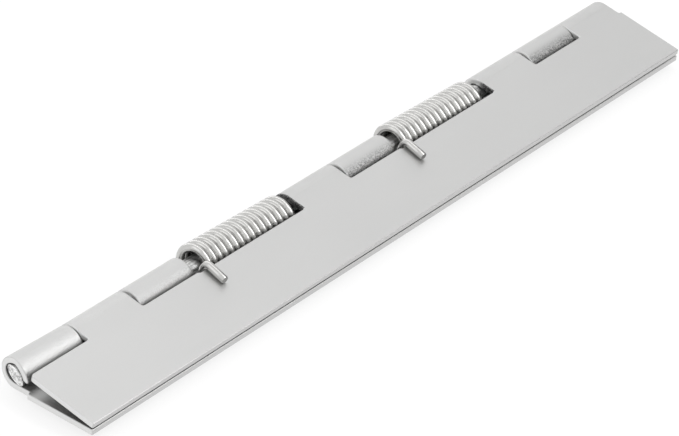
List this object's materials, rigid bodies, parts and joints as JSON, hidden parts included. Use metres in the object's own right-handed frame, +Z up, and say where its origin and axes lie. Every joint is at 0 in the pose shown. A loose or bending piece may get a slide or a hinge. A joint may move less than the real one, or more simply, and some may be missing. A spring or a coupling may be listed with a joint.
{
  "type": "spring hinge",
  "caption": "Long sprung hinge of two stamped leaves with interlocking curled knuckles on one pin, held shut by torsion springs.",
  "frame": {"origin": "middle of the pin, on its axis", "axes": "+X along the pin, -Y from the pin to the free edges of the leaves, +Z up from the level lower leaf"},
  "size_m": [0.24, 0.0312, 0.0123],
  "materials": {
    "leaf_sheet": "matt rolled stainless sheet",
    "pin_steel": "drawn bar, cut ends",
    "spring_wire": "drawn wire, semi-bright"
  },
  "bodies": {
    "fixed_leaf": {"lower_leaf": "leaf_sheet", "hinge_pin": "pin_steel", "left_spring": "spring_wire", "right_spring": "spring_wire"},
    "moving_leaf": {"upper_leaf": "leaf_sheet"}
  },
  "joints": [
    {"name": "opening", "type": "hinge", "parent": "fixed_leaf", "child": "moving_leaf", "pos_m": [0, 0, 0], "axis": [-1, 0, 0], "range_deg": [0, 168], "stiffness_Nm_per_rad": 0.7, "springref_deg": -25.78, "deforming": ["left_spring", "right_spring"]}
  ]
}
